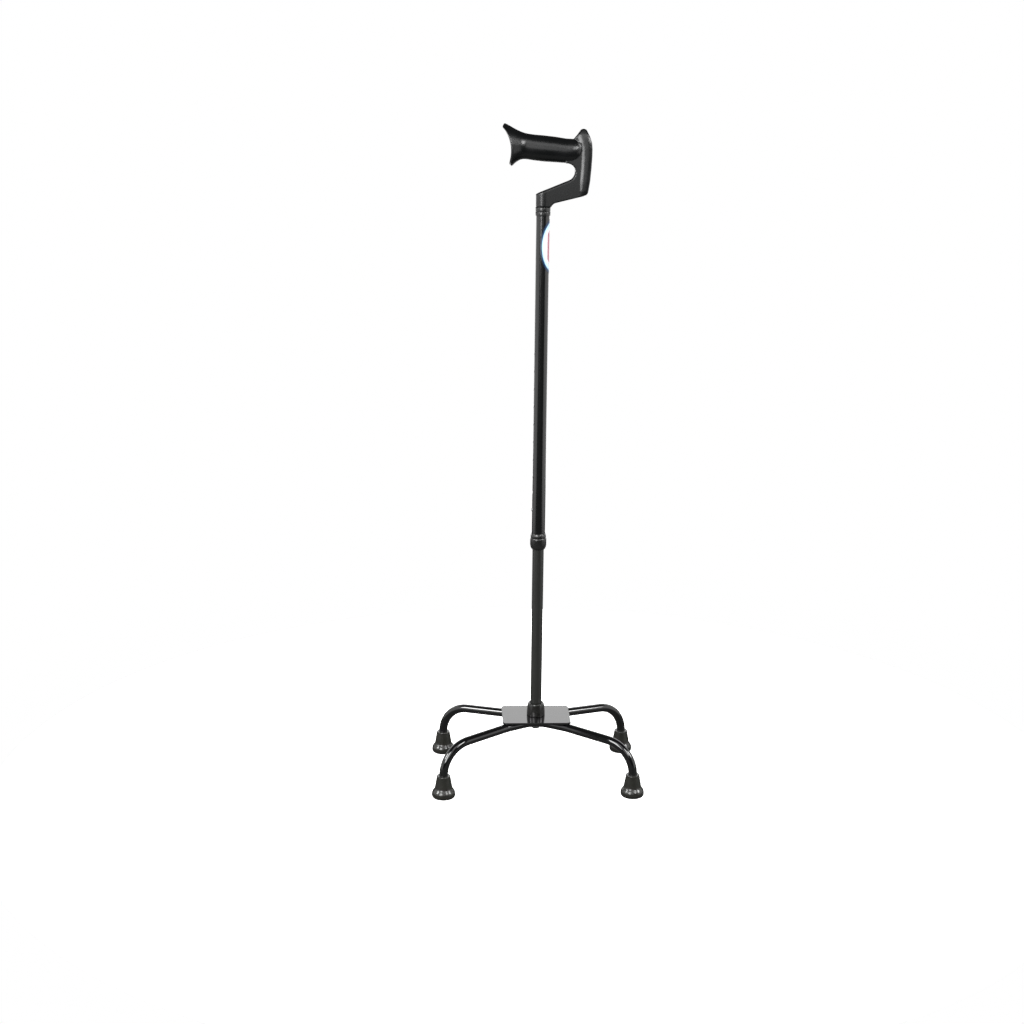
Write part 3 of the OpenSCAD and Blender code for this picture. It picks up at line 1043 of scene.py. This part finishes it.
def make_floor():
    """Plain pale floor, white where the camera sees it and darker in the cane's reflections."""
    deselect()
    bpy.ops.mesh.primitive_circle_add(vertices=96, radius=0.8, fill_type="NGON")
    floor = bpy.context.object
    floor.name = "floor"
    material, tree = new_material("pale_floor")
    place = add(tree, "ShaderNodeTexCoord").outputs["Object"]
    tone = add(tree, "ShaderNodeTexNoise", {"Scale": per_mm(300)}, {"Vector": place})
    pale = add(tree, "ShaderNodeMix", links={"Factor": tone.outputs["Fac"]}, data_type="RGBA")
    pale.inputs["A"].default_value = linear("#f2f2f1")
    pale.inputs["B"].default_value = linear("#f6f6f5")
    ray = add(tree, "ShaderNodeLightPath")
    colour = add(
        tree,
        "ShaderNodeMix",
        links={"Factor": ray.outputs["Is Camera Ray"], "B": pale.outputs["Result"]},
        data_type="RGBA",
    )
    colour.inputs["A"].default_value = linear("#5c5c5b")
    surface = add(
        tree,
        "ShaderNodeBsdfPrincipled",
        {"Roughness": 0.8, "Specular IOR Level": 0.1, "Emission Color": linear("#ffffff")},
        {"Base Color": colour.outputs["Result"], "Emission Strength": ray.outputs["Is Camera Ray"]},
    )
    finish_material(tree, surface)
    floor.data.materials.append(material)


def soft_light(name, where, target, width, height, watts):
    """A soft box that faces target, sizes in metres; the camera doesn't see the box itself."""
    lamp = bpy.data.lights.new(name, "AREA")
    lamp.shape = "RECTANGLE"
    lamp.size, lamp.size_y = width, height
    lamp.energy = watts
    light = bpy.data.objects.new(name, lamp)
    light.visible_camera = False
    light.location = where
    light.rotation_euler = (Vector(target) - Vector(where)).to_track_quat("-Z", "Y").to_euler()
    bpy.context.collection.objects.link(light)


def make_lights():
    """Tall dim boxes to both sides for the tubes' flanks, bright lights high on the left and
    right for the legs, a pair in front for the handle and tips, a dim box and a high light for
    the handle's flat faces and grip, and a card behind for the plate."""
    for side in (-1, 1):
        name = "left" if side < 0 else "right"
        soft_light(name + "_box", (side * 2.0, -0.25, 0.75), (0, -0.25, 0.75), 2.8, 1.9, 20)
        soft_light(name + "_high", (side * 2.85, -0.93, 1.9), (0, 0, 0.08), 0.75, 1.0, 55)
    soft_light("left_front", (-1.2, -2.0, 1.36), (0, 0, 0.7), 1.0, 1.48, 62)
    soft_light("right_front", (1.3, -1.95, 1.85), (0, 0, 0.4), 0.8, 1.0, 36)
    soft_light("front_box", (0, -2.6, 1.24), (0, 0, 0.95), 1.2, 1.2, 7)
    soft_light("grip_light", (0, -1.7, 2.1), (0, 0, 0.9), 1.2, 0.9, 7)
    soft_light("back_card", (0, 1.0, 0.48), (0, 0, 0.09), 2.4, 0.7, 11)


def make_world():
    """Dim room for what the gloss reflects, white where the camera looks past the cane."""
    world = bpy.data.worlds.new("studio_room")
    bpy.context.scene.world = world
    world.use_nodes = True
    tree = world.node_tree
    tree.nodes.clear()
    room = add(tree, "ShaderNodeBackground", {"Color": linear("#ffffff"), "Strength": 0.05})
    seen = add(tree, "ShaderNodeBackground", {"Color": linear("#ffffff"), "Strength": 1.0})
    ray = add(tree, "ShaderNodeLightPath")
    mixed = add(
        tree,
        "ShaderNodeMixShader",
        links={0: ray.outputs["Is Camera Ray"], 1: room.outputs[0], 2: seen.outputs[0]},
    )
    add(tree, "ShaderNodeOutputWorld", links={"Surface": mixed.outputs[0]})


def make_camera():
    """A camera about a metre up that looks a little down at the cane from its front, the -Y side."""
    lens = bpy.data.cameras.new("camera")
    lens.sensor_width = 36
    lens.lens = 61.47
    lens.clip_end = 100
    camera = bpy.data.objects.new("camera", lens)
    camera.location = (-0.1436, -2.4334, 1.0398)
    camera.rotation_euler = (math.radians(90 - 14.642), 0, math.radians(-2.475))
    camera.rotation_euler.rotate_axis("Z", math.radians(0.6))
    bpy.context.collection.objects.link(camera)
    bpy.context.scene.camera = camera


make_floor()
make_lights()
make_world()
make_camera()
bpy.context.scene.view_settings.view_transform = "Standard"
